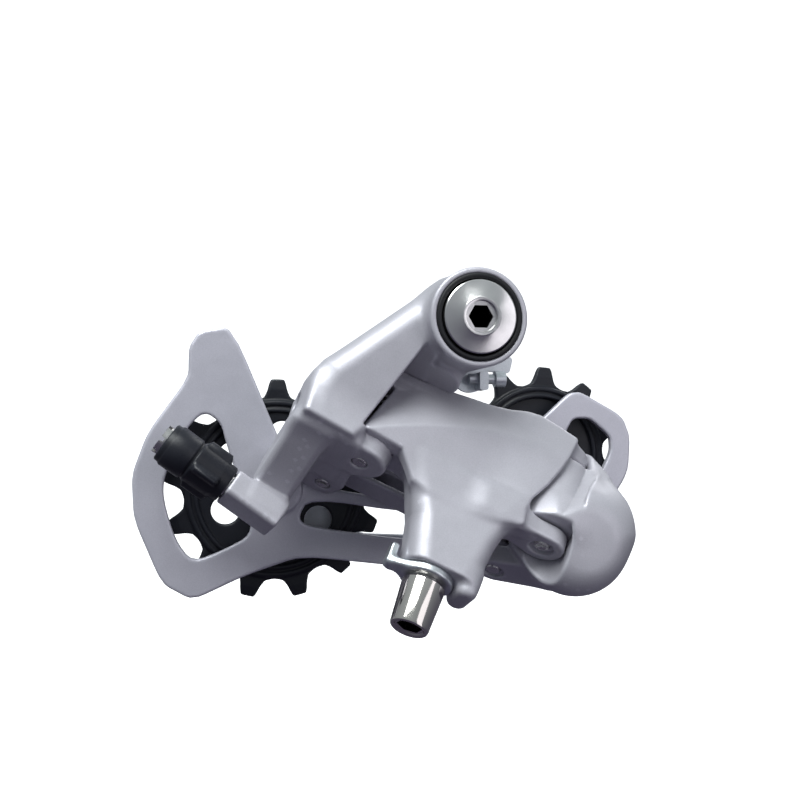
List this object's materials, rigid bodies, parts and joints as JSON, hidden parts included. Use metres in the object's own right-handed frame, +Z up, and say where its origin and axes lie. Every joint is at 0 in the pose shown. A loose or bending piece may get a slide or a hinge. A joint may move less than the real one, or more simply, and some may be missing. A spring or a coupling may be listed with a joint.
{
  "type": "rear bicycle derailleur",
  "caption": "Rear bicycle derailleur: slanted link parallelogram carrying a sprung cage with guide and tension wheels, on a hollow-key mounting bolt.",
  "frame": {"origin": "on the mounting bolt's axis, in the plane of the frame hanger's outer face", "axes": "+X forward on the bicycle, +Y inboard along the mounting bolt's thread, +Z up"},
  "size_m": [0.1288, 0.0547, 0.0817],
  "materials": {
    "silver_casting": "satin silver paint",
    "silver_plate": "satin silver paint",
    "bright_plate": "light silver paint",
    "machined_bolt": "turned, bright",
    "nickel_bolt": "nickel plate",
    "nickel_steel": "nickel plate",
    "zinc_steel": "zinc plate",
    "spring_steel": "drawn wire",
    "bronze_bush": "sintered bearing metal",
    "black_plastic": "moulded",
    "black_rubber": "satin"
  },
  "bodies": {
    "root": {"mounting_bolt": "machined_bolt", "stopper_plate": "zinc_steel", "bolt_snap_ring": "zinc_steel"},
    "hanger_screw": {"hanger_tension_screw": "zinc_steel"},
    "bracket": {"bracket_body": "silver_casting", "bolt_seal_ring": "black_rubber", "bracket_pivot_bushes": "bronze_bush", "bracket_pivot_spring": "spring_steel", "bracket_outer_link_pin": "nickel_steel", "bracket_inner_link_pin": "nickel_steel"},
    "low_limit": {"low_limit_screw": "zinc_steel"},
    "high_limit": {"high_limit_screw": "zinc_steel"},
    "cable_adjuster": {"adjuster_knob": "black_plastic", "adjuster_screw": "nickel_steel"},
    "outer_link": {"outer_link": "silver_casting", "cable_clamp_plate": "zinc_steel", "cable_fixing_bolt": "nickel_bolt", "knuckle_outer_link_pin": "nickel_steel", "link_return_spring": "spring_steel"},
    "inner_link": {"inner_link": "silver_casting"},
    "knuckle": {"knuckle_body": "silver_casting", "cage_pivot_bush": "bronze_bush", "cage_return_spring": "spring_steel", "knuckle_inner_link_pin": "nickel_steel"},
    "cage": {"cage_axle": "machined_bolt", "axle_snap_ring": "zinc_steel", "cage_stop_pin": "nickel_steel", "outer_cage_plate": "silver_plate", "inner_cage_plate": "bright_plate", "guide_wheel_bolt": "nickel_steel", "guide_wheel_bush": "bronze_bush", "guide_wheel_caps": "zinc_steel", "tension_wheel_bolt": "nickel_steel", "tension_wheel_bush": "bronze_bush", "tension_wheel_caps": "zinc_steel"},
    "guide_wheel": {"guide_wheel": "black_plastic"},
    "tension_wheel": {"tension_wheel": "black_plastic"}
  },
  "joints": [
    {"name": "bracket_pivot", "type": "hinge", "parent": "root", "child": "bracket", "pos_m": [0, -0.015, 0], "axis": [0, 1, 0], "range_deg": [-14, 0], "stiffness_Nm_per_rad": 0.6, "springref_deg": 57.3},
    {"name": "hanger_screw_turn", "type": "hinge", "parent": "root", "child": "hanger_screw", "pos_m": [0.0036, -0.005, -0.0126], "axis": [1, 0, 0], "range_deg": [-360, 360]},
    {"name": "link_swing", "type": "hinge", "parent": "bracket", "child": "outer_link", "pos_m": [-0.01971, -0.00943, -0.02199], "axis": [0.4281, 0.4695, 0.7722], "range_deg": [0, 50], "stiffness_Nm_per_rad": 0.25, "springref_deg": -68.75},
    {"name": "inner_link_swing", "type": "hinge", "parent": "bracket", "child": "inner_link", "pos_m": [-0.02877, 0.00277, -0.03215], "axis": [0.4281, 0.4695, 0.7722], "range_deg": [0, 50]},
    {"name": "knuckle_turn", "type": "hinge", "parent": "outer_link", "child": "knuckle", "pos_m": [0.02217, -0.01375, -0.04257], "axis": [0.4281, 0.4695, 0.7722], "range_deg": [-50, 0]},
    {"name": "cage_pivot", "type": "hinge", "parent": "knuckle", "child": "cage", "pos_m": [0.026, -0.005, -0.051], "axis": [0, 1, 0], "range_deg": [-110, 0], "stiffness_Nm_per_rad": 0.3, "springref_deg": 68.75},
    {"name": "guide_wheel_spin", "type": "hinge", "parent": "cage", "child": "guide_wheel", "pos_m": [0.0276, 0.012, -0.0316], "axis": [0, 1, 0], "continuous": true},
    {"name": "tension_wheel_spin", "type": "hinge", "parent": "cage", "child": "tension_wheel", "pos_m": [-0.0424, 0.012, -0.0399], "axis": [0, 1, 0], "continuous": true},
    {"name": "cable_adjuster_turn", "type": "hinge", "parent": "bracket", "child": "cable_adjuster", "pos_m": [-0.0547, -0.008, -0.0381], "axis": [-0.806, 0, 0.592], "range_deg": [-360, 360]},
    {"name": "low_limit_turn", "type": "hinge", "parent": "bracket", "child": "low_limit", "pos_m": [-0.03638, -0.01162, -0.02112], "axis": [0.8746, 0, -0.4848], "range_deg": [-360, 360]},
    {"name": "high_limit_turn", "type": "hinge", "parent": "bracket", "child": "high_limit", "pos_m": [-0.0336, -0.00857, -0.01611], "axis": [0.8746, 0, -0.4848], "range_deg": [-360, 360]}
  ],
  "couplings": [
    {"joint": "inner_link_swing", "follows": "link_swing", "ratio": 1},
    {"joint": "knuckle_turn", "follows": "link_swing", "ratio": -1}
  ]
}
